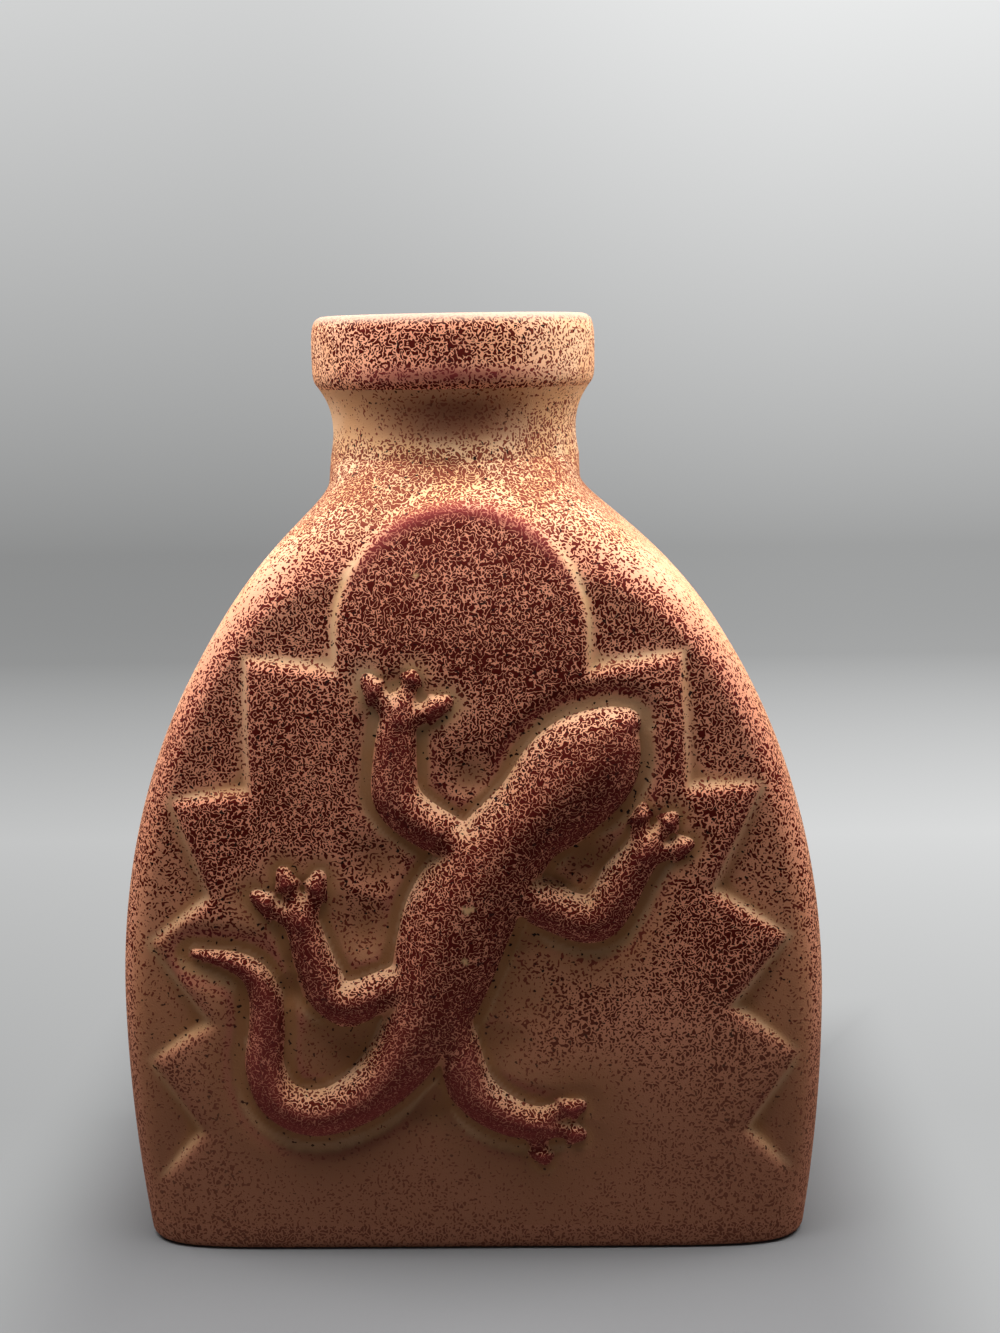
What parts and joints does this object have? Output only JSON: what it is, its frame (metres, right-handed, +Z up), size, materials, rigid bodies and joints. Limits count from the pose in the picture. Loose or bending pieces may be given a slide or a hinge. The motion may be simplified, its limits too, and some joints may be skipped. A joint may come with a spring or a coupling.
{
  "type": "terracotta vase",
  "caption": "Flat-sided terracotta bottle vase with a carved zigzag front, a raised lizard and a short turned neck with a thick rim.",
  "frame": {"origin": "Middle of the flat foot, on the surface that the vase stands on", "axes": "+Z up, the carved front faces -Y, +X to the right of someone who looks at the front"},
  "size_m": [0.184, 0.1081, 0.24],
  "materials": {
    "wall_clay": "matte tan glaze with fine red and dark speckle, redder on raised edges",
    "relief_clay": "matte dense red-brown speckle over tan glaze",
    "collar_clay": "matte tan glaze with sparse dark flecks and a red band on the rim"
  },
  "bodies": {
    "root": {"floor_slab": "wall_clay", "front_wall": "wall_clay", "back_wall": "wall_clay", "lizard_relief": "relief_clay", "neck": "collar_clay", "rim": "collar_clay"}
  },
  "joints": []
}
